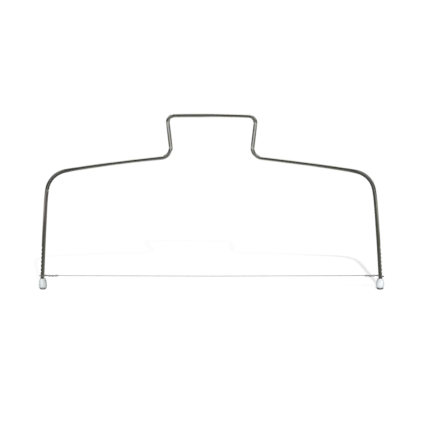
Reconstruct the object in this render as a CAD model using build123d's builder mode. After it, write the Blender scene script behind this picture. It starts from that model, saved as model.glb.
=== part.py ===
from build123d import *
import os
from itertools import combinations
from math import cos, dist, pi, radians, sin, sqrt, tan

os.makedirs("parts", exist_ok=True)

# Cake leveler. One bent steel rod is the handle, the shoulders and both legs. A thin steel wire hooks round
# the notched legs with a twisted eye at each end, and a soft plastic foot is pushed on each leg.
# X runs along the wire, Y through the frame and Z up. The origin is on the table, midway between the feet.
# The rod is bent by hand, so its right side hangs a little lower and leans more than its left.

# Rod
rod_diameter = 3.4
rod_radius = rod_diameter / 2

# Rod's centreline: spacing of the feet, how far each leg ends outside its foot's middle, then heights from the
# table up
foot_spacing = 298.6
leg_splay = 0.75
leg_end_height = 1.8
shoulder_height = 104.6
shoulder_rise = 15.1
handle_height = 36.9
right_shoulder_drop = 0.5
right_handle_drop = 0.4

# Each leg leans in a little up to a slight knee, and more from there to its shoulder corner. The leans are from
# its foot's middle.
knee_height = 50.0
left_knee_lean = 1.15
right_knee_lean = 1.9
left_shoulder_lean = 4.25
right_shoulder_lean = 6.2

# Handle, wider at its bar than at its base
handle_bar_width = 78.8
handle_base_width = 70.1
handle_shift = 0.15

# Gentle bows of the straight-looking stretches, at their middle
left_shoulder_bow = 0.9
right_shoulder_bow = 0.75
handle_bar_bow = 0.8

# Bend radii on the centreline. A knee bends over a share of the leg's run from notches to shoulder bend.
knee_run_share = 0.93
shoulder_bend_radius = 23.2
handle_base_bend_radius = 9.3
handle_top_bend_radius = 6.0

# Notches, rolled into the outer side of each leg
notch_count = 8
notch_pitch = 3.6
notch_depth = 0.5
notch_radius = 1.1

# Cutting wire, in the lowest pair of notches
wire_diameter = 0.55
wire_radius = wire_diameter / 2
wire_height = 12.3
wire_sag = 0.9

# Eye that hooks round a leg, and the twist that closes it
eye_side_gap = 0.2
left_nose_gap = 0.5
right_nose_gap = 1.1
left_nose_drop = 0.1
right_nose_drop = 1.0
eye_throat_reach = 4.2
eye_shoulder_reach = 1.9
eye_nose_bend_radius = 1.6
left_roll_degrees = 2
right_roll_degrees = 2
twist_quarter_turns = 6
twist_step = 1.6
twist_strand_radius = 0.68
twist_exit_run = 1.2
twist_droop = 0.35
bend_run_share = 0.45
sag_run_share = 0.9

# Foot
foot_height = 9.6
foot_radius = 3.6
foot_waist_height = 3.6
foot_lip_radius = 2.4
foot_lip_rounding = 0.4
foot_sole_radius = 2.4
foot_bore_clearance = 0.02

half_spacing = foot_spacing / 2
right_shoulder_height = shoulder_height - right_shoulder_drop
left_base_height = shoulder_height + shoulder_rise
right_base_height = right_shoulder_height + shoulder_rise
left_top_height = left_base_height + handle_height
right_top_height = right_base_height + handle_height - right_handle_drop
notch_heights = [wire_height + notch_pitch * step for step in range(notch_count)]

# Corners of the centreline before bending, as (x, z), from the left leg's end round to the right leg's end
corners = [
    (-half_spacing - leg_splay, leg_end_height),
    (-half_spacing + left_knee_lean, knee_height),
    (-half_spacing + left_shoulder_lean, shoulder_height),
    (handle_shift - handle_base_width / 2, left_base_height),
    (handle_shift - handle_bar_width / 2, left_top_height),
    (handle_shift + handle_bar_width / 2, right_top_height),
    (handle_shift + handle_base_width / 2, right_base_height),
    (half_spacing - right_shoulder_lean, right_shoulder_height),
    (half_spacing - right_knee_lean, knee_height),
    (half_spacing + leg_splay, leg_end_height),
]
# Bow of each stretch between two corners, outward from the frame
bows = [0, 0, left_shoulder_bow, 0, handle_bar_bow, 0, right_shoulder_bow, 0, 0]


def half_turn(points, index):
    """Half the angle, in radians, by which a route turns at one of its points."""
    before = Vector(*points[index]) - Vector(*points[index - 1])
    after = Vector(*points[index + 1]) - Vector(*points[index])
    return radians(before.get_angle(after)) / 2


def knee_bend_radius(knee, shoulder):
    """The radius of a knee's gentle bend, which stays clear of the notches and of the shoulder's bend."""
    room_below = knee_height - notch_heights[-1] - notch_radius
    shoulder_run = shoulder_bend_radius * tan(half_turn(corners, shoulder))
    room_above = corners[shoulder][1] - knee_height - shoulder_run
    return knee_run_share * min(room_below, room_above) / tan(half_turn(corners, knee))


bend_radii = [
    knee_bend_radius(1, 2),
    shoulder_bend_radius,
    handle_base_bend_radius,
    handle_top_bend_radius,
    handle_top_bend_radius,
    handle_base_bend_radius,
    shoulder_bend_radius,
    knee_bend_radius(-2, -3),
]


def bowed_line(start, end, bow):
    """A stretch of the centreline: an arc whose middle stands out by bow to its left, or a line."""
    if not bow:
        return Line(start, end)
    chord = Vector(*end) - Vector(*start)
    outward = Vector(-chord.Y, chord.X).normalized() * bow
    middle = (Vector(*start) + Vector(*end)) * 0.5 + outward
    return ThreePointArc(start, (middle.X, middle.Y), end)


def leg_axis_x(leg, height):
    """Where a leg's centreline stands at a height."""
    return leg.edge().intersect(Plane.XY.offset(height))[0].X


# Frame
with BuildLine(Plane.XZ) as centreline:
    stretches = [bowed_line(corners[i], corners[i + 1], bow) for i, bow in enumerate(bows)]
    left_leg, right_leg = stretches[0], stretches[-1]
    for (corner_x, corner_z), bend_radius in zip(corners[1:-1], bend_radii):
        corner = centreline.vertices().sort_by_distance((corner_x, 0, corner_z))[0]
        fillet(corner, bend_radius)

with BuildPart() as frame:
    with BuildSketch(Plane(origin=left_leg @ 0, z_dir=left_leg % 0)):
        Circle(rod_radius)
    sweep(path=centreline.wires()[0])
    for leg, outward in ((left_leg, -1), (right_leg, 1)):
        for height in notch_heights:
            notch_x = leg_axis_x(leg, height) + outward * (rod_radius - notch_depth + notch_radius)
            with BuildSketch(Plane.XZ):
                with Locations((notch_x, height)):
                    Circle(notch_radius)
            extrude(amount=rod_diameter, both=True, mode=Mode.SUBTRACT)
frame.part.label = "frame"


# Cutting wire
limb_reach = rod_radius + eye_side_gap + wire_radius
twist_length = twist_step * twist_quarter_turns


def eye_point(leg_x, inward, roll, reach, across, drop=0):
    """A point of an eye: reach inward from the leg's axis, and across from and drop under the wire's line."""
    return (leg_x + inward * reach, -across * cos(roll), wire_height + across * sin(roll) - drop)


def strand_points(leg_x, inward, start_angle):
    """The corners of one strand of the twist, from the eye's throat to the twist's inner end."""
    points = []
    for step in range(twist_quarter_turns + 1):
        angle = start_angle + step * pi / 2
        x = leg_x + inward * (eye_throat_reach + step * twist_step)
        y = -twist_strand_radius * cos(angle)
        middle = wire_height - twist_droop * sin(pi * step / twist_quarter_turns)
        points.append((x, y, middle + twist_strand_radius * sin(angle)))
    return points


def end_points(leg_x, inward, roll, nose_gap, nose_drop):
    """One end of the wire, from its cut tail through the eye to where it leaves the twist."""
    nose_reach = rod_radius + nose_gap + wire_radius
    tail = strand_points(leg_x, inward, roll + pi)[::-1]
    eye = [
        eye_point(leg_x, inward, roll, eye_shoulder_reach, -limb_reach),
        eye_point(leg_x, inward, roll, -nose_reach, -limb_reach, nose_drop),
        eye_point(leg_x, inward, roll, -nose_reach, limb_reach, nose_drop),
        eye_point(leg_x, inward, roll, eye_shoulder_reach, limb_reach),
    ]
    strand = strand_points(leg_x, inward, roll)
    exit_x = leg_x + inward * (eye_throat_reach + twist_length + twist_exit_run)
    return tail + eye + strand + [(exit_x, 0, wire_height)]


left_leg_x = leg_axis_x(left_leg, wire_height)
right_leg_x = leg_axis_x(right_leg, wire_height)
left_end = end_points(left_leg_x, 1, radians(left_roll_degrees), left_nose_gap, left_nose_drop)
right_end = end_points(right_leg_x, -1, radians(right_roll_degrees), right_nose_gap, right_nose_drop)
sag_point = ((left_leg_x + right_leg_x) / 2, 0, wire_height - 2 * wire_sag)
wire_points = left_end + [sag_point] + right_end[::-1]


def bend_radius_at(points, index):
    """The radius of the bend at a point: as large as its two runs allow, or tighter at an eye's nose."""
    shorter_run = min(dist(points[index], points[index - 1]), dist(points[index], points[index + 1]))
    share = sag_run_share if points[index] == sag_point else bend_run_share
    largest = share * shorter_run / tan(half_turn(points, index))
    outside_legs = points[index][0] < left_leg_x or points[index][0] > right_leg_x
    return min(largest, eye_nose_bend_radius) if outside_legs else largest


wire_bends = [bend_radius_at(wire_points, index) for index in range(1, len(wire_points) - 1)]
with BuildLine() as wire_line:
    FilletPolyline(*wire_points, radius=wire_bends)
wire_route = wire_line.wires()[0]

with BuildPart() as cutting_wire:
    with BuildSketch(Plane(origin=wire_route @ 0, z_dir=wire_route % 0)):
        Circle(wire_radius)
    sweep(path=wire_route)
cutting_wire.part.label = "cutting_wire"


def least_gap(route):
    """The least gap between stretches of the wire that pass each other, measured on points along it."""
    sample_step = wire_radius
    own_run = 4 * wire_diameter
    count = int(route.length / sample_step)
    samples = [(step * sample_step, tuple(route @ (step / count))) for step in range(count + 1)]
    return min(
        dist(one, other) - wire_diameter
        for (one_run, one), (other_run, other) in combinations(samples, 2)
        if other_run - one_run > own_run
    )


# Feet
def make_foot(middle_x, leg_end, up_leg):
    """A foot of revolution, rounded towards its flat sole and its lip, bored along the end of its leg."""
    below = foot_radius - foot_sole_radius
    above = foot_radius - foot_lip_radius
    rise = foot_height - foot_waist_height
    lower_radius = (below**2 + foot_waist_height**2) / (2 * below)
    upper_radius = (above**2 + rise**2) / (2 * above)
    lower_middle = sqrt(lower_radius**2 - (foot_waist_height / 2) ** 2) - lower_radius + foot_radius
    upper_middle = sqrt(upper_radius**2 - (rise / 2) ** 2) - upper_radius + foot_radius
    with BuildPart() as foot:
        with BuildSketch(Plane(origin=(middle_x, 0, 0), x_dir=(1, 0, 0), z_dir=(0, -1, 0))):
            with BuildLine():
                Line((0, 0), (foot_sole_radius, 0))
                ThreePointArc(
                    (foot_sole_radius, 0),
                    (lower_middle, foot_waist_height / 2),
                    (foot_radius, foot_waist_height),
                )
                ThreePointArc(
                    (foot_radius, foot_waist_height),
                    (upper_middle, foot_waist_height + rise / 2),
                    (foot_lip_radius, foot_height),
                )
                Line((foot_lip_radius, foot_height), (0, foot_height))
                Line((0, foot_height), (0, 0))
            make_face()
        revolve(axis=Axis((middle_x, 0, 0), (0, 0, 1)))
        fillet(foot.edges().filter_by(GeomType.CIRCLE).sort_by(Axis.Z)[-1], foot_lip_rounding)
        with BuildSketch(Plane(origin=leg_end, z_dir=up_leg)):
            Circle(rod_radius + foot_bore_clearance)
        extrude(amount=foot_height, mode=Mode.SUBTRACT)
    return foot.part


left_foot = make_foot(-half_spacing, left_leg @ 0, left_leg % 0)
left_foot.label = "left_foot"
right_foot = make_foot(half_spacing, right_leg @ 1, -(right_leg % 1))
right_foot.label = "right_foot"

export_step(frame.part, "parts/frame.step")
export_step(cutting_wire.part, "parts/cutting_wire.step")
export_step(left_foot, "parts/left_foot.step")
export_step(right_foot, "parts/right_foot.step")

print("wire length", round(wire_route.length, 1), "tightest bend", round(min(wire_bends), 2))
print("least gap between the wire's strands", round(least_gap(wire_route), 3))
tube_volume = wire_route.length * pi * wire_radius**2
print("wire volume to section times length", round(cutting_wire.part.volume / tube_volume, 6))
print("notch travel", round(notch_heights[-1] - notch_heights[0], 2))
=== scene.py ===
from math import atan, ceil, cos, pi, radians, sin, tan

import bmesh
import bpy
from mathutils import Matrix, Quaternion, Vector


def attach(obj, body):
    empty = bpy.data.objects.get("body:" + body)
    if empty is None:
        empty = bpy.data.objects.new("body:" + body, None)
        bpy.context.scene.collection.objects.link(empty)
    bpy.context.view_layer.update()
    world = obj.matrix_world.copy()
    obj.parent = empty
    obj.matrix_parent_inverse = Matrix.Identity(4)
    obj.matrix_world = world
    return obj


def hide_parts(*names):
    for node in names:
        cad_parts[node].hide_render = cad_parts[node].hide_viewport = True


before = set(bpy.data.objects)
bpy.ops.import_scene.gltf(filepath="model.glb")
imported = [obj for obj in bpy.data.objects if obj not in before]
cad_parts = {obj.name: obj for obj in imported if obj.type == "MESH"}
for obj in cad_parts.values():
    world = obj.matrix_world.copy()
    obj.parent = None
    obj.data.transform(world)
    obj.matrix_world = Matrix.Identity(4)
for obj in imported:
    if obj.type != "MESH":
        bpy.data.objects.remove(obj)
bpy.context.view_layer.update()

# Cake leveler: a bent steel rod with a notched leg at each side, a thin cutting wire that hooks round the
# legs, and a milky soft foot on each leg. X runs along the wire, Y away from the viewer and Z up from the
# table.
mm = 0.001

# Rod
rod_radius = 1.7 * mm
rod_sides = 40

# Rod's centreline: spacing of the feet, how far each leg ends outside its foot's middle, then heights from
# the table up
foot_spacing = 298.6 * mm
leg_splay = 0.75 * mm
leg_end_height = 1.8 * mm
shoulder_height = 104.6 * mm
shoulder_rise = 15.1 * mm
handle_height = 36.9 * mm
right_shoulder_drop = 0.5 * mm
right_handle_drop = 0.4 * mm

# Each leg leans in a little up to a slight knee, and more from there to its shoulder corner. The leans are
# from its foot's middle.
knee_height = 50.0 * mm
left_knee_lean = 1.15 * mm
right_knee_lean = 1.9 * mm
left_shoulder_lean = 4.25 * mm
right_shoulder_lean = 6.2 * mm

# Handle, wider at its bar than at its base
handle_bar_width = 78.8 * mm
handle_base_width = 70.1 * mm
handle_shift = 0.15 * mm

# Gentle bows of the straight-looking stretches, at their middle
left_shoulder_bow = 0.9 * mm
right_shoulder_bow = 0.75 * mm
handle_bar_bow = 0.8 * mm

# Bend radii on the centreline. A shoulder's bend starts and ends gently. The shares are of the shorter run
# beside a bend.
shoulder_bend_radius = 20 * mm
gentle_bend_radius = 112 * mm
gentle_reach = 20 * mm
gentle_leg_turn = radians(6)
gentle_top_turn = radians(3)
handle_base_bend_radius = 9.3 * mm
handle_top_bend_radius = 6.0 * mm
knee_share = 0.4
bar_bow_share = 0.6
shoulder_bow_share = 0.36

# Notches, rolled into the outer side of each leg
notch_count = 8
notch_pitch = 3.6 * mm
notch_depth = 0.5 * mm
notch_radius = 1.1 * mm

# Cutting wire, in the lowest pair of notches
wire_radius = 0.275 * mm
wire_sides = 14
wire_height = 12.3 * mm
wire_sag = 0.9 * mm

# Eye that hooks round a leg, and the twist that closes it
eye_side_gap = 0.2 * mm
left_nose_gap = 0.5 * mm
right_nose_gap = 1.1 * mm
left_nose_drop = 0.1 * mm
right_nose_drop = 1.0 * mm
eye_throat_reach = 4.2 * mm
eye_shoulder_reach = 1.9 * mm
eye_nose_bend_radius = 1.6 * mm
left_roll = radians(2)
right_roll = radians(2)
twist_quarter_turns = 6
twist_step = 1.6 * mm
twist_strand_radius = 0.68 * mm
twist_exit_run = 1.2 * mm
twist_droop = 0.35 * mm
bend_share = 0.45
sag_share = 0.9

# The run over which the painted shade on the wire's ends fades where an eye passes its leg
eye_fade_run = 0.8 * mm

# How finely the rod and the wire are divided along their runs
rod_step = 3 * mm
notch_step = 0.12 * mm
wire_step = 3 * mm
bend_angle_step = radians(7.5)

half_spacing = foot_spacing / 2
right_shoulder_height = shoulder_height - right_shoulder_drop
left_base_height = shoulder_height + shoulder_rise
right_base_height = right_shoulder_height + shoulder_rise
left_top_height = left_base_height + handle_height
right_top_height = right_base_height + handle_height - right_handle_drop
notch_heights = [wire_height + notch_pitch * step for step in range(notch_count)]


# Routes


def half_turn(points, index):
    """Half the angle by which a route turns at one of its points."""
    before = points[index] - points[index - 1]
    after = points[index + 1] - points[index]
    return before.angle(after) / 2


def largest_bend(points, index, share):
    """The radius of a bend that takes up a share of the shorter run beside its corner."""
    before = (points[index] - points[index - 1]).length
    after = (points[index + 1] - points[index]).length
    return share * min(before, after) / tan(half_turn(points, index))


def rounded_route(corners, radii):
    """Points along a route whose inner corners are arcs of the given radii."""
    points = [corners[0]]
    for index, radius in enumerate(radii, start=1):
        corner = corners[index]
        back = (corners[index - 1] - corner).normalized()
        onward = (corners[index + 1] - corner).normalized()
        turn = half_turn(corners, index)
        centre = corner + (back + onward).normalized() * radius / cos(turn)
        first = corner + back * radius * tan(turn) - centre
        last = corner + onward * radius * tan(turn) - centre
        whole_turn = first.rotation_difference(last)
        steps = max(2, ceil(2 * turn / bend_angle_step))
        for step in range(steps + 1):
            points.append(centre + Quaternion().slerp(whole_turn, step / steps) @ first)
    points.append(corners[-1])
    return points


def divided(points, step_at):
    """The same route with points added, so that no run is longer than step_at gives for its height."""
    finer = [points[0]]
    for start, end in zip(points, points[1:]):
        place = start
        while (end - place).length > 1.5 * step_at(place.z):
            place = place + (end - place).normalized() * step_at(place.z)
            finer.append(place)
        finer.append(end)
    return finer


def made_piece(name, built):
    """An object of the scene from a mesh that was built for it."""
    mesh = bpy.data.meshes.new(name)
    built.to_mesh(mesh)
    built.free()
    piece = bpy.data.objects.new(name, mesh)
    bpy.context.scene.collection.objects.link(piece)
    return piece


def tube(name, route, radius, sides):
    """A closed tube along a route. Each vertex also keeps its place in the tube as it was before bending."""
    built = bmesh.new()
    straightened = built.verts.layers.float_vector.new("straightened")
    side = Vector((0, 1, 0))
    run = 0
    rings = []
    last_direction = None
    for index, place in enumerate(route):
        before = route[max(index - 1, 0)]
        after = route[min(index + 1, len(route) - 1)]
        direction = ((place - before).normalized() + (after - place).normalized()).normalized()
        if last_direction:
            side.rotate(last_direction.rotation_difference(direction))
            run += (place - before).length
        side = (side - direction * side.dot(direction)).normalized()
        other_side = direction.cross(side)
        ring = []
        for step in range(sides):
            angle = 2 * pi * step / sides
            across, up = radius * cos(angle), radius * sin(angle)
            vertex = built.verts.new(place + side * across + other_side * up)
            vertex[straightened] = (across, up, run)
            ring.append(vertex)
        rings.append(ring)
        last_direction = direction
    for ring, next_ring in zip(rings, rings[1:]):
        for step in range(sides):
            beside = (step + 1) % sides
            built.faces.new((ring[step], ring[beside], next_ring[beside], next_ring[step]))
    built.faces.new(rings[0][::-1])
    built.faces.new(rings[-1])
    piece = made_piece(name, built)
    piece.data.shade_smooth()
    return piece


# Rod


def bow_corner(start, end, bow, share):
    """A corner at the middle of a stretch, which its bend rounds off to a bow of that height."""
    middle = (start + end) / 2
    along = (end - start).normalized()
    return middle + Vector((-along.z, 0, along.x)) * bow / (1 - share / 2)


left_end = Vector((-half_spacing - leg_splay, 0, leg_end_height))
left_knee = Vector((-half_spacing + left_knee_lean, 0, knee_height))
left_shoulder = Vector((-half_spacing + left_shoulder_lean, 0, shoulder_height))
left_base = Vector((handle_shift - handle_base_width / 2, 0, left_base_height))
left_top = Vector((handle_shift - handle_bar_width / 2, 0, left_top_height))
right_top = Vector((handle_shift + handle_bar_width / 2, 0, right_top_height))
right_base = Vector((handle_shift + handle_base_width / 2, 0, right_base_height))
right_shoulder = Vector((half_spacing - right_shoulder_lean, 0, right_shoulder_height))
right_knee = Vector((half_spacing - right_knee_lean, 0, knee_height))
right_end = Vector((half_spacing + leg_splay, 0, leg_end_height))

# Corners of the rod and, but for its two ends, their bends, with one plain corner at each shoulder
plain_corners = [
    left_end,
    left_knee,
    left_shoulder,
    bow_corner(left_shoulder, left_base, left_shoulder_bow, shoulder_bow_share),
    left_base,
    left_top,
    bow_corner(left_top, right_top, handle_bar_bow, bar_bow_share),
    right_top,
    right_base,
    bow_corner(right_base, right_shoulder, right_shoulder_bow, shoulder_bow_share),
    right_shoulder,
    right_knee,
    right_end,
]
plain_bends = [
    largest_bend(plain_corners, 1, knee_share),
    shoulder_bend_radius,
    largest_bend(plain_corners, 3, shoulder_bow_share),
    handle_base_bend_radius,
    handle_top_bend_radius,
    largest_bend(plain_corners, 6, bar_bow_share),
    handle_top_bend_radius,
    handle_base_bend_radius,
    largest_bend(plain_corners, 9, shoulder_bow_share),
    shoulder_bend_radius,
    largest_bend(plain_corners, 11, knee_share),
]
left_index = plain_corners.index(left_shoulder)
right_index = plain_corners.index(right_shoulder)


def eased_corner(index, first_turn, last_turn):
    """Three corners in place of a shoulder's one: for a small gentle bend, a tight one and a gentle one."""
    corner = plain_corners[index]
    first = corner + (plain_corners[index - 1] - corner).normalized() * gentle_reach
    last = corner + (plain_corners[index + 1] - corner).normalized() * gentle_reach
    first_slope = tan(half_turn(plain_corners, index) - first_turn)
    last_slope = tan(half_turn(plain_corners, index) - last_turn)
    foot = first.lerp(last, last_slope / (first_slope + last_slope))
    outward = (corner - (first + last) / 2).normalized()
    return [first, foot + outward * (foot - first).length * first_slope, last]


eased_bends = [gentle_bend_radius, shoulder_bend_radius, gentle_bend_radius]
left_eased = eased_corner(left_index, gentle_leg_turn, gentle_top_turn)
right_eased = eased_corner(right_index, gentle_top_turn, gentle_leg_turn)
corners_between = plain_corners[left_index + 1 : right_index]
bends_between = plain_bends[left_index : right_index - 1]
rod_corners = plain_corners[:left_index] + left_eased + corners_between + right_eased
rod_corners += plain_corners[right_index + 1 :]
rod_bends = plain_bends[: left_index - 1] + eased_bends + bends_between + eased_bends
rod_bends += plain_bends[right_index:]


def leg_x(height, outward):
    """A leg's centreline at a height under its knee. Outward is -1 for the left leg and 1 for the right."""
    foot, knee = (left_end, left_knee) if outward < 0 else (right_end, right_knee)
    return foot.lerp(knee, (height - foot.z) / (knee.z - foot.z)).x


def rod_step_at(height):
    """Short steps where the notches are, and long ones elsewhere."""
    beside_notches = notch_heights[0] - 2 * notch_radius < height < notch_heights[-1] + 2 * notch_radius
    return notch_step if beside_notches else rod_step


def roll_notches(rod):
    """Presses the outer side of both legs in to the round floor of each notch, and notes how deep."""
    pressed = rod.data.attributes.new("pressed", "FLOAT", "POINT").data
    for index, vertex in enumerate(rod.data.vertices):
        outward = -1 if vertex.co.x < 0 else 1
        for height in notch_heights:
            rise = vertex.co.z - height
            if abs(rise) >= notch_radius:
                continue
            middle = leg_x(height, outward) + outward * (rod_radius - notch_depth + notch_radius)
            floor_x = middle - outward * (notch_radius**2 - rise**2) ** 0.5
            depth = outward * (vertex.co.x - floor_x)
            if depth > 0:
                vertex.co.x = floor_x
                pressed[index].value = min(1, depth / notch_depth)


rod = tube("bent_rod", divided(rounded_route(rod_corners, rod_bends), rod_step_at), rod_radius, rod_sides)
roll_notches(rod)
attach(rod, "frame")
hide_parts("frame")

# Wire
limb_reach = rod_radius + eye_side_gap + wire_radius
twist_length = twist_step * twist_quarter_turns


def eye_point(leg, inward, roll, reach, across, drop=0):
    """A point of an eye: reach inward from the leg's axis, across from the wire's line and drop under it."""
    rise = across * sin(roll) - drop
    return Vector((leg + inward * reach, -across * cos(roll), wire_height + rise))


def strand_points(leg, inward, start_angle):
    """The corners of one strand of the twist, from the eye's throat to the twist's inner end."""
    points = []
    for step in range(twist_quarter_turns + 1):
        angle = start_angle + step * pi / 2
        x = leg + inward * (eye_throat_reach + step * twist_step)
        y = -twist_strand_radius * cos(angle)
        middle = wire_height - twist_droop * sin(pi * step / twist_quarter_turns)
        points.append(Vector((x, y, middle + twist_strand_radius * sin(angle))))
    return points


def wire_end(leg, inward, roll, nose_gap, nose_drop):
    """One end of the wire, from its cut tail through the eye to where it leaves the twist."""
    nose_reach = rod_radius + nose_gap + wire_radius
    tail = strand_points(leg, inward, roll + pi)[::-1]
    eye = [
        eye_point(leg, inward, roll, eye_shoulder_reach, -limb_reach),
        eye_point(leg, inward, roll, -nose_reach, -limb_reach, nose_drop),
        eye_point(leg, inward, roll, -nose_reach, limb_reach, nose_drop),
        eye_point(leg, inward, roll, eye_shoulder_reach, limb_reach),
    ]
    strand = strand_points(leg, inward, roll)
    exit_x = leg + inward * (eye_throat_reach + twist_length + twist_exit_run)
    return tail + eye + strand + [Vector((exit_x, 0, wire_height))]


left_leg_x = leg_x(wire_height, -1)
right_leg_x = leg_x(wire_height, 1)
sag_corner = Vector(((left_leg_x + right_leg_x) / 2, 0, wire_height - 2 * wire_sag))
left_wire_end = wire_end(left_leg_x, 1, left_roll, left_nose_gap, left_nose_drop)
right_wire_end = wire_end(right_leg_x, -1, right_roll, right_nose_gap, right_nose_drop)
wire_corners = left_wire_end + [sag_corner] + right_wire_end[::-1]


def wire_bend(index):
    """The radius of one of the wire's bends: as large as its runs allow, or tighter at an eye's nose."""
    corner = wire_corners[index]
    largest = largest_bend(wire_corners, index, sag_share if corner == sag_corner else bend_share)
    outside_legs = not left_leg_x < corner.x < right_leg_x
    return min(largest, eye_nose_bend_radius) if outside_legs else largest


wire_bends = [wire_bend(index) for index in range(1, len(wire_corners) - 1)]
wire_route = divided(rounded_route(wire_corners, wire_bends), lambda height: wire_step)
wire = tube("cutting_wire_strand", wire_route, wire_radius, wire_sides)


def note_shaded_ends(wire):
    """Marks the twists and the eyes' ends, where the wire gets a painted shade."""
    twist_reach = eye_throat_reach + twist_length
    end_shade = wire.data.attributes.new("end_shade", "FLOAT", "POINT").data
    for index, vertex in enumerate(wire.data.vertices):
        from_leg = min(vertex.co.x - left_leg_x, right_leg_x - vertex.co.x)
        in_end = min(1, max(0, (twist_reach - from_leg) / twist_exit_run + 0.5))
        beside_leg = min(1, max(0, (rod_radius + eye_fade_run / 2 - abs(from_leg)) / eye_fade_run))
        end_shade[index].value = in_end * (1 - beside_leg)


note_shaded_ends(wire)
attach(wire, "wire")
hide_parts("cutting_wire")


# Materials

# Rod's colours: plain with tinted patches, olive down its legs, brown on the upper left leg, painted shade
# in its shoulder bends and rubbed in its notches
plain_steel = (0.8, 0.8, 0.79, 1)
tinted_steel = (0.77, 0.76, 0.66, 1)
olive_steel = (0.77, 0.79, 0.58, 1)
brown_steel = (0.84, 0.73, 0.68, 1)
bend_shade_steel = (0.4, 0.4, 0.37, 1)
rubbed_steel = (0.8, 0.79, 0.76, 1)
most_olive = 0.6
most_bend_shade = 0.6

# Brown bloom on the left leg: its height, how far it fades out up and down, and the X that it stays left of
bloom_height = 72 * mm
bloom_reach = 36 * mm
bloom_left_of = -100 * mm

# Stretches over which the rod gets the painted shade of its shoulder bends, outward and upward
bend_shade_outward = (112 * mm, 130 * mm)
bend_shade_upward = (72 * mm, 88 * mm)

# Wire's colours: bright with a film in patches, darker to its right end, painted shade in its eyes and
# twists
bright_wire = (0.97, 0.97, 0.96, 1)
filmed_wire = (0.88, 0.87, 0.85, 1)
darker_wire = (0.5, 0.49, 0.48, 1)
shaded_end_wire = (0.11, 0.1, 0.105, 1)
darker_rightward = (55 * mm, 145 * mm)

# Feet's colours: milky with bluer clouds, a painted shade that greys the left foot, painted shade on the
# side towards the other foot, most of all near the lip, and a painted contact shadow round the sole
milky_plastic = (0.77, 0.81, 0.82, 1)
bluer_plastic = (0.8, 0.81, 0.86, 1)
left_shade_plastic = (0.63, 0.68, 0.67, 1)
inner_shade_plastic = (0.36, 0.37, 0.36, 1)
sole_shadow_plastic = (0.12, 0.12, 0.13, 1)
left_shade = 0.75
least_inner_shade = 0.3
left_inner_shade = 0.35
lip_shade = 0.5
most_sole_shadow = 0.95
left_sole_shadow = -0.2
shaded_inward = (half_spacing + 1.3 * mm, half_spacing - 3 * mm)
shaded_upward = (5.5 * mm, 9 * mm)
shaded_downward = (2.6 * mm, 1.1 * mm)

white = (1, 1, 1, 1)


def set_inputs(tree, node, inputs):
    """Sets each of a node's inputs to its value, or joins it to its output."""
    for name, value in inputs.items():
        if isinstance(value, bpy.types.NodeSocket):
            tree.links.new(value, node.inputs[name])
        else:
            node.inputs[name].default_value = value


def add_node(tree, kind, inputs=None, **settings):
    """A shader node with its settings made and its inputs set."""
    node = tree.nodes.new("ShaderNode" + kind)
    for name, value in settings.items():
        setattr(node, name, value)
    set_inputs(tree, node, inputs or {})
    return node


def calculated(tree, operation, *values):
    """The result of one sum on outputs or numbers."""
    return add_node(tree, "Math", dict(enumerate(values)), operation=operation).outputs[0]


def weighted_sum(tree, start, *parts):
    """A start value with each (output, weight) added."""
    total = start
    for output, weight in parts:
        total = calculated(tree, "MULTIPLY_ADD", output, weight, total)
    return total


def smooth_share(tree, value, start, end, least=0.0, most=1.0):
    """A share that goes smoothly from least, where the value is at start, to most, where it is at end."""
    inputs = {"Value": value, "From Min": start, "From Max": end, "To Min": least, "To Max": most}
    return add_node(tree, "MapRange", inputs, interpolation_type="SMOOTHSTEP").outputs["Result"]


def mixed_value(tree, share, first, second):
    """A number that goes from the first to the second by a share."""
    return add_node(tree, "Mix", {0: share, 2: first, 3: second}, data_type="FLOAT").outputs[0]


def mixed_colour(tree, share, first, second):
    """A colour that goes from the first to the second by a share."""
    return add_node(tree, "Mix", {0: share, 6: first, 7: second}, data_type="RGBA").outputs[2]


def axes_of(tree, place):
    """The X, Y and Z of a place or a direction."""
    return add_node(tree, "SeparateXYZ", {"Vector": place}).outputs


def object_place(tree):
    """A place on a piece, in the piece's own space."""
    return add_node(tree, "TexCoord").outputs["Object"]


def start_group(name, inputs, output):
    """An empty node group with its sockets, and its input and output nodes."""
    group = bpy.data.node_groups.new(name, "ShaderNodeTree")
    for socket, kind, value in inputs:
        made = group.interface.new_socket(name=socket, in_out="INPUT", socket_type="NodeSocket" + kind)
        if value is not None:
            made.default_value = value
    group.interface.new_socket(name=output, in_out="OUTPUT", socket_type="NodeSocketFloat")
    return group, group.nodes.new("NodeGroupInput").outputs, group.nodes.new("NodeGroupOutput").inputs


def use_group(tree, group, inputs):
    """The result of a group that is placed in a material with its own values."""
    node = tree.nodes.new("ShaderNodeGroup")
    node.node_tree = group
    set_inputs(tree, node, inputs)
    return node.outputs[0]


def stretched_noise(group, place, width, length, low, high, detail, roughness=0.5, distortion=0.0):
    """Noise of a width, drawn out along Z to a length, and spread from none at low to all at high."""
    size = add_node(group, "CombineXYZ", {"X": width, "Y": width, "Z": length}).outputs["Vector"]
    scaled = add_node(group, "VectorMath", {0: place, 1: size}, operation="DIVIDE").outputs["Vector"]
    inputs = {"Vector": scaled, "Scale": 1.0, "Detail": detail}
    inputs |= {"Roughness": roughness, "Distortion": distortion}
    return smooth_share(group, add_node(group, "TexNoise", inputs).outputs["Fac"], low, high)


def make_drawn_lines():
    """Fine lines that run along drawn metal."""
    group, given, result = start_group(
        "drawn_lines",
        [("Place", "Vector", None), ("Width", "Float", 0.1 * mm), ("Length", "Float", 10 * mm)],
        "Lines",
    )
    lines = stretched_noise(
        group, given["Place"], given["Width"], given["Length"], low=0.3, high=0.7, detail=3.0, roughness=0.6
    )
    group.links.new(lines, result["Lines"])
    return group


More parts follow.
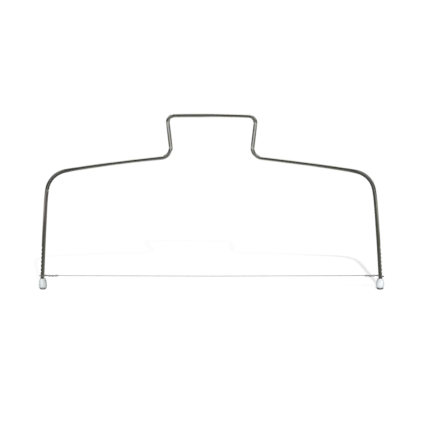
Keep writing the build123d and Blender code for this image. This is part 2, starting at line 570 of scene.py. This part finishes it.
def make_soft_patches():
    """Soft-edged patches, such as handling marks or a cloudy tint."""
    group, given, result = start_group(
        "soft_patches",
        [("Place", "Vector", None), ("Size", "Float", 10 * mm), ("Shift", "Vector", (0, 0, 0))],
        "Patches",
    )
    inputs = {0: given["Place"], 1: given["Shift"]}
    shifted = add_node(group, "VectorMath", inputs, operation="ADD").outputs["Vector"]
    size = given["Size"]
    patches = stretched_noise(
        group, shifted, size, size, low=0.35, high=0.65, detail=4.0, roughness=0.55, distortion=0.4
    )
    group.links.new(patches, result["Patches"])
    return group


def make_hairlines():
    """Sparse thin scratches that run one way across a surface."""
    group, given, result = start_group(
        "hairlines",
        [
            ("Place", "Vector", None),
            ("Turn", "Vector", (0, 0, 0)),
            ("Width", "Float", 0.05 * mm),
            ("Length", "Float", 3 * mm),
        ],
        "Scratches",
    )
    inputs = {"Vector": given["Place"], "Rotation": given["Turn"]}
    turned = add_node(group, "VectorRotate", inputs, rotation_type="EULER_XYZ").outputs["Vector"]
    scratches = stretched_noise(
        group, turned, given["Width"], given["Length"], low=0.68, high=0.76, detail=1.0
    )
    group.links.new(scratches, result["Scratches"])
    return group


drawn_lines = make_drawn_lines()
soft_patches = make_soft_patches()
hairlines = make_hairlines()


def empty_material(name):
    """A material whose node tree is empty."""
    material = bpy.data.materials.new(name)
    material.use_nodes = True
    material.node_tree.nodes.clear()
    return material, material.node_tree


def surfaced_material(name):
    """A material with its nodes and its main shader, which is joined to its output."""
    material, tree = empty_material(name)
    shader = add_node(tree, "BsdfPrincipled")
    add_node(tree, "OutputMaterial", {"Surface": shader.outputs["BSDF"]})
    return material, tree, shader


def make_rod_steel():
    """Polished drawn rod with tinted patches, olive legs, a brown bloom on the upper left leg, painted
    shade in its shoulder bends, fine lines along it and rubbed notches."""
    material, tree, shader = surfaced_material("rod_steel")
    along = add_node(tree, "Attribute", attribute_name="straightened").outputs["Vector"]
    pressed = add_node(tree, "Attribute", attribute_name="pressed").outputs["Fac"]
    lines = use_group(tree, drawn_lines, {"Place": along, "Width": 0.11 * mm, "Length": 14 * mm})
    tint = use_group(tree, soft_patches, {"Place": along, "Size": 16 * mm})
    marks = use_group(tree, soft_patches, {"Place": along, "Size": 4 * mm, "Shift": (0.4, 0.1, 0.2)})
    scratches = use_group(
        tree, hairlines, {"Place": along, "Turn": (1.2, 0.3, 0), "Width": 0.06 * mm, "Length": 1.6 * mm}
    )
    axes = axes_of(tree, object_place(tree))
    olive = smooth_share(tree, axes["Z"], shoulder_height, knee_height, most=most_olive)
    from_bloom = calculated(tree, "ABSOLUTE", calculated(tree, "SUBTRACT", axes["Z"], bloom_height))
    on_left_leg = calculated(tree, "LESS_THAN", axes["X"], bloom_left_of)
    bloom = smooth_share(tree, from_bloom, bloom_reach, 0.0, most=on_left_leg)
    # Painted shade: a darker base colour over the shoulder bends and the tops of the legs
    outward = smooth_share(tree, calculated(tree, "ABSOLUTE", axes["X"]), *bend_shade_outward, most=most_bend_shade)
    shaded_bend = smooth_share(tree, axes["Z"], *bend_shade_upward, most=outward)
    colour = mixed_colour(tree, tint, plain_steel, tinted_steel)
    colour = mixed_colour(tree, olive, colour, olive_steel)
    colour = mixed_colour(tree, bloom, colour, brown_steel)
    colour = mixed_colour(tree, shaded_bend, colour, bend_shade_steel)
    colour = mixed_colour(tree, pressed, colour, rubbed_steel)
    roughness = weighted_sum(tree, 0.05, (lines, 0.04), (marks, 0.05), (scratches, 0.15), (pressed, 0.1))
    height = weighted_sum(tree, 0.0, (lines, 0.6), (scratches, -1.0))
    bump = add_node(tree, "Bump", {"Strength": 0.35, "Distance": 0.006 * mm, "Height": height})
    set_inputs(
        tree,
        shader,
        {"Base Color": colour, "Metallic": 1.0, "Roughness": roughness, "Normal": bump.outputs["Normal"]},
    )
    return material


def make_wire_steel():
    """Bright drawn wire, darker to the right, with die lines along it and a film in places."""
    material, tree, shader = surfaced_material("wire_steel")
    along = add_node(tree, "Attribute", attribute_name="straightened").outputs["Vector"]
    end_shade = add_node(tree, "Attribute", attribute_name="end_shade").outputs["Fac"]
    lines = use_group(tree, drawn_lines, {"Place": along, "Width": 0.03 * mm, "Length": 5 * mm})
    film = use_group(tree, soft_patches, {"Place": along, "Size": 7 * mm})
    rightward = smooth_share(tree, axes_of(tree, object_place(tree))["X"], *darker_rightward)
    colour = mixed_colour(tree, film, bright_wire, filmed_wire)
    colour = mixed_colour(tree, rightward, colour, darker_wire)
    # Painted shade: the eyes and twists are darkened almost to black
    colour = mixed_colour(tree, end_shade, colour, shaded_end_wire)
    roughness = weighted_sum(tree, 0.16, (lines, 0.1), (film, 0.1), (end_shade, 0.1))
    bump = add_node(tree, "Bump", {"Strength": 0.3, "Distance": 0.003 * mm, "Height": lines})
    set_inputs(
        tree,
        shader,
        {"Base Color": colour, "Metallic": 1.0, "Roughness": roughness, "Normal": bump.outputs["Normal"]},
    )
    return material


def make_foot_plastic():
    """Milky soft plastic, a little cloudy, with painted shade round its sole and on its inward side."""
    material, tree, shader = surfaced_material("foot_plastic")
    place = object_place(tree)
    clouds = use_group(tree, soft_patches, {"Place": place, "Size": 2.6 * mm})
    pores = use_group(tree, soft_patches, {"Place": place, "Size": 0.25 * mm, "Shift": (0.3, 0.2, 0)})
    scuffs = use_group(
        tree, hairlines, {"Place": place, "Turn": (0.2, 1.4, 0.5), "Width": 0.07 * mm, "Length": 1.2 * mm}
    )
    axes = axes_of(tree, place)
    on_left = calculated(tree, "LESS_THAN", axes["X"], 0.0)
    near_sole = smooth_share(tree, axes["Z"], *shaded_downward)
    near_lip = smooth_share(tree, axes["Z"], *shaded_upward)
    inward = smooth_share(tree, calculated(tree, "ABSOLUTE", axes["X"]), *shaded_inward)
    # Painted shade: the left foot is greyer all over
    greyer = weighted_sum(tree, 0.0, (on_left, left_shade))
    # Painted shade on the side towards the other foot, strongest near the lip and on the left foot
    inner_shade_strength = weighted_sum(tree, least_inner_shade, (on_left, left_inner_shade), (near_lip, lip_shade))
    inner_shade = calculated(tree, "MULTIPLY", inward, inner_shade_strength)
    # Painted contact shadow round the sole, a little weaker on the left foot
    sole_shadow = calculated(tree, "MULTIPLY", near_sole, weighted_sum(tree, most_sole_shadow, (on_left, left_sole_shadow)))
    colour = mixed_colour(tree, clouds, milky_plastic, bluer_plastic)
    colour = mixed_colour(tree, greyer, colour, left_shade_plastic)
    colour = mixed_colour(tree, inner_shade, colour, inner_shade_plastic)
    colour = mixed_colour(tree, sole_shadow, colour, sole_shadow_plastic)
    roughness = weighted_sum(tree, 0.2, (clouds, 0.08), (scuffs, 0.2), (near_sole, 0.3))
    relief = weighted_sum(tree, 0.0, (pores, 0.4), (scuffs, -0.6))
    bump = add_node(tree, "Bump", {"Strength": 0.3, "Distance": 0.02 * mm, "Height": relief})
    set_inputs(
        tree,
        shader,
        {
            "Base Color": colour,
            "Roughness": roughness,
            "IOR": 1.48,
            "Subsurface Weight": 0.2,
            "Subsurface Radius": (1.0, 0.95, 0.9),
            "Subsurface Scale": 0.6 * mm,
            "Normal": bump.outputs["Normal"],
        },
    )
    return material


def dress(piece, material):
    """Gives a piece or a CAD node its one material."""
    piece.data.materials.clear()
    piece.data.materials.append(material)


dress(rod, make_rod_steel())
dress(wire, make_wire_steel())
foot_plastic = make_foot_plastic()
for name in ("left_foot", "right_foot"):
    dress(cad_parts[name], foot_plastic)


# Studio

# Pale floor. To the camera it is even white, less a share of the shadow, which shows more on the right.
floor_reach = 1.6
floor_front = -0.9
floor_grey = 0.86
floor_bright = 1.01
floor_lit = 0.736
left_shadow_share = 0.13
right_shadow_share = 0.5
shadow_rightward = (0.06, 0.145)

# A wide ring on the floor that only shows in gloss. The handle's sides mirror it, and the legs stand too low
# to. Its front is brighter between two slanting lines, less so near its outer edge.
ring_inner = 0.5
ring_outer = 1.15
ring_sides = 96
ring_height = 1 * mm
ring_grey = 0.4
ring_front_grey = 0.6
ring_front_slope = 1.6
ring_frontward = (0.0, -0.2)
ring_inward = (1.0, 0.8)

# Two soft-edged cards over and under the handle, which also only show in gloss. The upper one has a grey
# strip at each side. The lower one is seen from above only, and its left half is grey.
upper_card_height = 0.3
upper_card_half = 0.135
upper_card_front = -0.02
upper_card_back = 0.6
strip_start = 0.2
strip_end = 0.32
strip_grey = 0.45
lower_card_height = 0.085
lower_card_half = 0.052
lower_card_front = -0.022
lower_card_back = 0.3
left_half_grey = 0.35
card_fade = 0.015

# World. To gloss it is white overhead and underneath, and dark all round the horizon, less so low down and
# on the right. Up at the sides it is grey, and so are the far ends of the white above and below. Each pair
# says where in a direction's own axes a change starts and ends.
gloss_dark_above = 0.038
gloss_dark_below = 0.083
gloss_right_share = 0.09
gloss_side_grey = 0.23
gloss_side_white = 0.22
gloss_side_beneath = 0.15
white_overhead_from = (0.8, 0.97)
white_beneath_from = (-0.62, -0.8)
beneath_slope = -0.4
beneath_narrows = (0.085, 0.13)
white_ends = (0.145, 0.21)
brighter_rightward = (0.1, 0.9)
brighter_downward = (0.02, -0.18)
greyer_sideways = (0.14, 0.38)
greyer_upward = (0.1, 0.35)
world_light = 0.35

# One soft lamp in front and above, a little to the right, so that the shadow falls faintly behind
lamp_direction = Vector((0.14, -1.29, 1)).normalized()
lamp_angle = radians(1.2)
lamp_energy = 2.6

# Camera
view_elevation = radians(12)
view_distance = 8.0
view_width = 0.374
view_target = Vector((0, 0, 0.0702))


def flat_sheet(name, left, right, front, back, height):
    """A level rectangle of the studio, which isn't part of the leveler."""
    built = bmesh.new()
    corners = ((left, front), (right, front), (right, back), (left, back))
    built.faces.new([built.verts.new((x, y, height)) for x, y in corners])
    sheet = made_piece(name, built)
    return sheet


def flat_ring(name, inner, outer, height):
    """A level ring of the studio round the leveler."""
    built = bmesh.new()
    turns = [2 * pi * step / ring_sides for step in range(ring_sides)]
    inside, outside = [
        [built.verts.new((radius * cos(turn), radius * sin(turn), height)) for turn in turns]
        for radius in (inner, outer)
    ]
    for step in range(ring_sides):
        beside = (step + 1) % ring_sides
        built.faces.new((inside[step], outside[step], outside[beside], inside[beside]))
    ring = made_piece(name, built)
    return ring


def glossy_only(piece):
    """Lets a piece show in gloss alone: it neither lights the leveler nor shades it nor stands in view."""
    piece.visible_camera = False
    piece.visible_diffuse = False
    piece.visible_transmission = False
    piece.visible_shadow = False
    piece.visible_volume_scatter = False


def make_floor_paper():
    """Pale paper that, to the camera, makes up for the light it doesn't get and for part of the shadow."""
    material, tree = empty_material("floor_paper")
    seen = add_node(tree, "LightPath").outputs
    seen_directly = calculated(tree, "MAXIMUM", seen["Is Camera Ray"], seen["Is Transmission Ray"])
    across = axes_of(tree, object_place(tree))["X"]
    shadow_share = smooth_share(tree, across, *shadow_rightward, left_shadow_share, right_shadow_share)
    own_share = mixed_value(tree, seen_directly, 1.0, shadow_share)
    grey = calculated(tree, "MULTIPLY", own_share, floor_grey)
    colour = add_node(tree, "CombineColor", {"Red": grey, "Green": grey, "Blue": grey}).outputs["Color"]
    paper = add_node(tree, "BsdfDiffuse", {"Color": colour})
    missing = weighted_sum(tree, floor_bright, (shadow_share, -floor_lit))
    strength = calculated(tree, "MULTIPLY", missing, seen_directly)
    glow = add_node(tree, "Emission", {"Color": white, "Strength": strength})
    surface = add_node(tree, "AddShader", {0: paper.outputs["BSDF"], 1: glow.outputs["Emission"]})
    add_node(tree, "OutputMaterial", {"Surface": surface.outputs["Shader"]})
    return material


def make_ring_paper():
    """A grey glow that is brighter at the ring's front."""
    material, tree = empty_material("ring_paper")
    place = object_place(tree)
    axes = axes_of(tree, place)
    aside = calculated(tree, "ABSOLUTE", axes["X"])
    beside = calculated(tree, "MULTIPLY_ADD", aside, ring_front_slope, axes["Y"])
    in_front = smooth_share(tree, beside, *ring_frontward)
    far_off = add_node(tree, "VectorMath", {0: place}, operation="LENGTH").outputs["Value"]
    near = smooth_share(tree, far_off, *ring_inward)
    in_front_and_near = calculated(tree, "MULTIPLY", in_front, near)
    grey = weighted_sum(tree, ring_grey, (in_front_and_near, ring_front_grey - ring_grey))
    glow = add_node(tree, "Emission", {"Color": white, "Strength": grey})
    add_node(tree, "OutputMaterial", {"Surface": glow.outputs["Emission"]})
    return material


def soft_card(name, half, front, back, height, has_strips):
    """A card whose white fades out at its front and sides. It has strips beside it or a grey left half."""
    reach = strip_end + card_fade if has_strips else half + card_fade
    card = flat_sheet(name, -reach, reach, front - card_fade, back, height)
    material, tree = empty_material(name + "_paper")
    axes = axes_of(tree, object_place(tree))
    aside = calculated(tree, "ABSOLUTE", axes["X"])
    in_middle = smooth_share(tree, aside, half + card_fade, half - card_fade)
    behind_front = smooth_share(tree, axes["Y"], front - card_fade, front + card_fade)
    if has_strips:
        started = smooth_share(tree, aside, strip_start - card_fade, strip_start + card_fade)
        ended = smooth_share(tree, aside, strip_end - card_fade, strip_end + card_fade)
        covered = weighted_sum(tree, 0.0, (in_middle, 1.0), (started, 1.0), (ended, -1.0))
        share = calculated(tree, "MULTIPLY", covered, behind_front)
        strength = weighted_sum(tree, strip_grey, (in_middle, 1 - strip_grey))
    else:
        from_above = calculated(tree, "SUBTRACT", 1.0, add_node(tree, "NewGeometry").outputs["Backfacing"])
        share = calculated(tree, "MULTIPLY", in_middle, behind_front)
        share = calculated(tree, "MULTIPLY", share, from_above)
        on_right = smooth_share(tree, axes["X"], -card_fade / 2, card_fade / 2)
        strength = weighted_sum(tree, left_half_grey, (on_right, 1 - left_half_grey))
    glow = add_node(tree, "Emission", {"Color": white, "Strength": strength})
    clear = add_node(tree, "BsdfTransparent", {"Color": white})
    surface = add_node(tree, "MixShader", {0: share, 1: clear.outputs["BSDF"], 2: glow.outputs["Emission"]})
    add_node(tree, "OutputMaterial", {"Surface": surface.outputs["Shader"]})
    dress(card, material)
    glossy_only(card)


def make_world():
    """The world: white to the camera, an even light to matt surfaces and a dark-sided studio to gloss."""
    world = bpy.data.worlds.new("studio")
    world.use_nodes = True
    tree = world.node_tree
    tree.nodes.clear()
    axes = axes_of(tree, add_node(tree, "TexCoord").outputs["Generated"])
    aside = calculated(tree, "ABSOLUTE", axes["X"])
    overhead = calculated(tree, "ADD", axes["Y"], axes["Z"])
    beneath = calculated(tree, "MULTIPLY_ADD", axes["Y"], beneath_slope, axes["Z"])
    narrowing = smooth_share(tree, aside, *beneath_narrows, 1.0, gloss_side_beneath)
    white_overhead = smooth_share(tree, overhead, *white_overhead_from)
    white_beneath = smooth_share(tree, beneath, *white_beneath_from, most=narrowing)
    whiteness = calculated(tree, "MAXIMUM", white_overhead, white_beneath)
    whitest = weighted_sum(tree, 1.0, (smooth_share(tree, aside, *white_ends), gloss_side_white - 1))
    sideways = smooth_share(tree, aside, *greyer_sideways)
    horizon = weighted_sum(
        tree,
        gloss_dark_above,
        (smooth_share(tree, axes["Z"], *brighter_downward), gloss_dark_below - gloss_dark_above),
        (smooth_share(tree, axes["X"], *brighter_rightward), gloss_right_share),
        (smooth_share(tree, axes["Z"], *greyer_upward, most=sideways), gloss_side_grey),
    )
    strength = mixed_value(tree, whiteness, horizon, whitest)
    in_gloss, as_lighting, as_backdrop = [
        add_node(tree, "Background", {"Color": white, "Strength": value}).outputs["Background"]
        for value in (strength, world_light, 1.0)
    ]
    seen = add_node(tree, "LightPath").outputs
    unseen = add_node(tree, "MixShader", {0: seen["Is Glossy Ray"], 1: as_lighting, 2: in_gloss})
    whole = add_node(
        tree, "MixShader", {0: seen["Is Camera Ray"], 1: unseen.outputs["Shader"], 2: as_backdrop}
    )
    add_node(tree, "OutputWorld", {"Surface": whole.outputs["Shader"]})
    return world


def linked(name, data):
    """An object of the scene that holds a lamp or a camera."""
    made = bpy.data.objects.new(name, data)
    bpy.context.scene.collection.objects.link(made)
    return made


floor = flat_sheet("floor", -floor_reach, floor_reach, floor_front, floor_reach, 0)
dress(floor, make_floor_paper())
floor.visible_glossy = False

ring = flat_ring("grey_ring", ring_inner, ring_outer, ring_height)
dress(ring, make_ring_paper())
glossy_only(ring)

soft_card(
    "upper_card", upper_card_half, upper_card_front, upper_card_back, upper_card_height, has_strips=True
)
soft_card(
    "lower_card", lower_card_half, lower_card_front, lower_card_back, lower_card_height, has_strips=False
)

bpy.context.scene.world = make_world()

lamp_light = bpy.data.lights.new("front_lamp", "SUN")
lamp_light.angle = lamp_angle
lamp_light.energy = lamp_energy
lamp = linked("front_lamp", lamp_light)
lamp.location = lamp_direction
lamp.rotation_euler = lamp_direction.to_track_quat("Z", "Y").to_euler()
lamp.visible_glossy = False

camera_data = bpy.data.cameras.new("camera")
camera_data.angle = 2 * atan(view_width / 2 / view_distance)
camera = linked("camera", camera_data)
to_camera = Vector((0, -cos(view_elevation), sin(view_elevation)))
camera.location = view_target + to_camera * view_distance
camera.rotation_euler = to_camera.to_track_quat("Z", "Y").to_euler()
bpy.context.scene.camera = camera

bpy.context.scene.view_settings.view_transform = "Standard"

bpy.context.view_layer.update()
